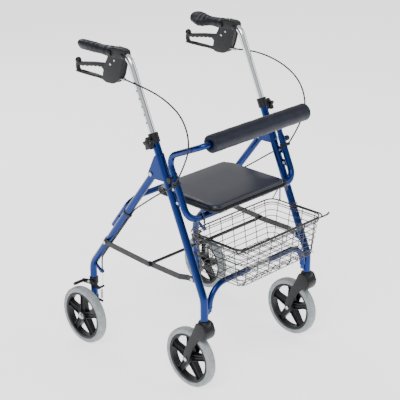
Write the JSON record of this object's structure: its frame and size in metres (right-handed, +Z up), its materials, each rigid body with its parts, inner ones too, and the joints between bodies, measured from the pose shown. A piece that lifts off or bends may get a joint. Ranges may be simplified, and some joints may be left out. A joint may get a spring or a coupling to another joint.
{
  "type": "rollator walker",
  "caption": "Folding four-wheeled rollator with padded seat, round backrest, wire basket, height-adjustable handles and loop cable brakes.",
  "frame": {"origin": "on the floor, under the middle of the overall box", "axes": "+Z up, -Y to the front, +X to the user's left; the walker is mirror-symmetric about X = 0"},
  "size_m": [0.624, 0.7379, 1.052],
  "materials": {
    "blue_frame": "metallic blue powder coat, semi-gloss",
    "chrome_tube": "bright chrome plate",
    "zinc_steel": "zinc plated fasteners, satin",
    "dark_bar": "dark grey paint, satin",
    "black_wire": "black dipped wire, semi-gloss",
    "charcoal_plastic": "moulded, fine texture",
    "hub_plastic": "moulded, semi-matte",
    "grey_tyre": "light grey non-marking rubber",
    "grip_rubber": "ribbed, matt",
    "seat_vinyl": "navy-black upholstery vinyl, soft sheen",
    "pad_foam": "closed-cell foam sleeve, matt",
    "seat_board_black": "black board",
    "basket_wire": null,
    "cable_sheath": "black cable sheath",
    "bearing_steel": "ground steel"
  },
  "bodies": {
    "front_frame": {"front_legs": "blue_frame", "leg_collars": "charcoal_plastic", "hinge_brackets": "blue_frame", "front_cross_bar": "blue_frame", "seat_support_tube": "blue_frame", "frame_bolts": "zinc_steel", "cable_clips": "charcoal_plastic"},
    "rear_frame": {"rear_legs": "blue_frame", "rear_cross_tube": "blue_frame", "rear_axles": "zinc_steel", "brake_mounts": "charcoal_plastic", "rear_frame_bolts": "zinc_steel", "brake_springs": "zinc_steel", "brake_cable_lower_left": "cable_sheath", "brake_cable_lower_right": "cable_sheath"},
    "front_brace_set": {"front_braces": "dark_bar", "brace_rod": "dark_bar"},
    "rear_brace_set": {"rear_braces": "dark_bar", "brace_bolts": "zinc_steel"},
    "seat": {"seat_board": "seat_board_black", "seat_pad": "seat_vinyl", "seat_clips": "zinc_steel"},
    "backrest": {"backrest_bar": "blue_frame", "backrest_pad": "pad_foam"},
    "basket": {"basket": "basket_wire"},
    "basket_bail": {"basket_bail": "black_wire"},
    "handle_left": {"handle_tube_left": "chrome_tube", "handgrip_left": "grip_rubber", "brake_housing_left": "charcoal_plastic", "cable_adjuster_left": "zinc_steel", "brake_cable_upper_left": "cable_sheath"},
    "brake_lever_left": {"brake_lever_left": "charcoal_plastic"},
    "star_knob_left": {"star_knob_left": "charcoal_plastic"},
    "lock_knob_left": {"lock_knob_left": "charcoal_plastic"},
    "brake_shoe_left": {"brake_shoe_left": "dark_bar"},
    "rear_wheel_left": {"rear_tyre_left": "grey_tyre", "rear_hub_left": "hub_plastic", "rear_bearings_left": "bearing_steel"},
    "caster_left": {"caster_fork_left": "charcoal_plastic", "caster_bolts_left": "zinc_steel"},
    "caster_wheel_left": {"caster_tyre_left": "grey_tyre", "caster_hub_left": "hub_plastic", "caster_bearings_left": "bearing_steel"},
    "handle_right": {"handle_tube_right": "chrome_tube", "handgrip_right": "grip_rubber", "brake_housing_right": "charcoal_plastic", "cable_adjuster_right": "zinc_steel", "brake_cable_upper_right": "cable_sheath"},
    "brake_lever_right": {"brake_lever_right": "charcoal_plastic"},
    "star_knob_right": {"star_knob_right": "charcoal_plastic"},
    "lock_knob_right": {"lock_knob_right": "charcoal_plastic"},
    "brake_shoe_right": {"brake_shoe_right": "dark_bar"},
    "rear_wheel_right": {"rear_tyre_right": "grey_tyre", "rear_hub_right": "hub_plastic", "rear_bearings_right": "bearing_steel"},
    "caster_right": {"caster_fork_right": "charcoal_plastic", "caster_bolts_right": "zinc_steel"},
    "caster_wheel_right": {"caster_tyre_right": "grey_tyre", "caster_hub_right": "hub_plastic", "caster_bearings_right": "bearing_steel"}
  },
  "joints": [
    {"name": "frame_fold", "type": "hinge", "parent": "front_frame", "child": "rear_frame", "pos_m": [0, -0.049, 0.683], "axis": [-1, 0, 0], "range_deg": [0, 30], "deforming": ["brake_cable_lower_left", "brake_cable_lower_right", "brake_springs"]},
    {"name": "front_brace_swing", "type": "hinge", "parent": "front_frame", "child": "front_brace_set", "pos_m": [0, -0.209, 0.375], "axis": [1, 0, 0], "range_deg": [0, 47]},
    {"name": "rear_brace_swing", "type": "hinge", "parent": "front_brace_set", "child": "rear_brace_set", "pos_m": [0, -0.031, 0.375], "axis": [1, 0, 0], "range_deg": [-116, 0]},
    {"name": "seat_lift", "type": "hinge", "parent": "front_frame", "child": "seat", "pos_m": [0, -0.1937, 0.562], "axis": [1, 0, 0], "range_deg": [0, 85]},
    {"name": "backrest_height", "type": "slide", "parent": "front_frame", "child": "backrest", "axis": [0, 0.3971, 0.9178], "range_m": [0, 0.05]},
    {"name": "basket_lift", "type": "slide", "parent": "front_frame", "child": "basket", "axis": [0, 0, 1], "range_m": [0, 0.04]},
    {"name": "basket_bail_swing", "type": "hinge", "parent": "basket", "child": "basket_bail", "pos_m": [0, -0.235, 0.5], "axis": [-1, 0, 0], "range_deg": [0, 75]},
    {"name": "handle_height_left", "type": "slide", "parent": "front_frame", "child": "handle_left", "axis": [0, 0.3971, 0.9178], "range_m": [-0.15, 0.02], "deforming": ["brake_cable_upper_left"]},
    {"name": "brake_squeeze_left", "type": "hinge", "parent": "handle_left", "child": "brake_lever_left", "pos_m": [0, 0.123, 0.995], "axis": [1, 0, 0], "range_deg": [0, 12], "stiffness_Nm_per_rad": 3, "springref_deg": -2.86},
    {"name": "star_knob_turn_left", "type": "hinge", "parent": "front_frame", "child": "star_knob_left", "pos_m": [0.27, -0.05578, 0.785], "axis": [1, 0, 0], "range_deg": [0, 360]},
    {"name": "lock_knob_turn_left", "type": "hinge", "parent": "front_frame", "child": "lock_knob_left", "pos_m": [0.265, -0.13917, 0.688], "axis": [1, 0, 0], "range_deg": [0, 360]},
    {"name": "brake_press_left", "type": "hinge", "parent": "rear_frame", "child": "brake_shoe_left", "pos_m": [0, 0.268, 0.213], "axis": [-1, 0, 0], "range_deg": [0, 9]},
    {"name": "rear_wheel_spin_left", "type": "hinge", "parent": "rear_frame", "child": "rear_wheel_left", "pos_m": [0.29, 0.268, 0.1], "axis": [1, 0, 0], "continuous": true},
    {"name": "caster_swivel_left", "type": "hinge", "parent": "front_frame", "child": "caster_left", "pos_m": [0.243, -0.257, 0.224], "axis": [0, 0, 1], "continuous": true},
    {"name": "caster_wheel_spin_left", "type": "hinge", "parent": "caster_left", "child": "caster_wheel_left", "pos_m": [0.243, -0.195, 0.1], "axis": [1, 0, 0], "continuous": true},
    {"name": "handle_height_right", "type": "slide", "parent": "front_frame", "child": "handle_right", "axis": [0, 0.3971, 0.9178], "range_m": [-0.15, 0.02], "deforming": ["brake_cable_upper_right"]},
    {"name": "brake_squeeze_right", "type": "hinge", "parent": "handle_right", "child": "brake_lever_right", "pos_m": [0, 0.123, 0.995], "axis": [1, 0, 0], "range_deg": [0, 12], "stiffness_Nm_per_rad": 3, "springref_deg": -2.86},
    {"name": "star_knob_turn_right", "type": "hinge", "parent": "front_frame", "child": "star_knob_right", "pos_m": [-0.27, -0.05578, 0.785], "axis": [-1, 0, 0], "range_deg": [0, 360]},
    {"name": "lock_knob_turn_right", "type": "hinge", "parent": "front_frame", "child": "lock_knob_right", "pos_m": [-0.265, -0.13917, 0.688], "axis": [-1, 0, 0], "range_deg": [0, 360]},
    {"name": "brake_press_right", "type": "hinge", "parent": "rear_frame", "child": "brake_shoe_right", "pos_m": [0, 0.268, 0.213], "axis": [-1, 0, 0], "range_deg": [0, 9]},
    {"name": "rear_wheel_spin_right", "type": "hinge", "parent": "rear_frame", "child": "rear_wheel_right", "pos_m": [-0.29, 0.268, 0.1], "axis": [1, 0, 0], "continuous": true},
    {"name": "caster_swivel_right", "type": "hinge", "parent": "front_frame", "child": "caster_right", "pos_m": [-0.243, -0.257, 0.224], "axis": [0, 0, 1], "continuous": true},
    {"name": "caster_wheel_spin_right", "type": "hinge", "parent": "caster_right", "child": "caster_wheel_right", "pos_m": [-0.243, -0.195, 0.1], "axis": [1, 0, 0], "continuous": true}
  ],
  "couplings": [
    {"joint": "front_brace_swing", "follows": "frame_fold", "ratio": 1.5456},
    {"joint": "rear_brace_swing", "follows": "frame_fold", "ratio": -3.8346},
    {"joint": "brake_press_left", "follows": "brake_squeeze_left", "ratio": 0.75},
    {"joint": "brake_press_right", "follows": "brake_squeeze_right", "ratio": 0.75}
  ]
}
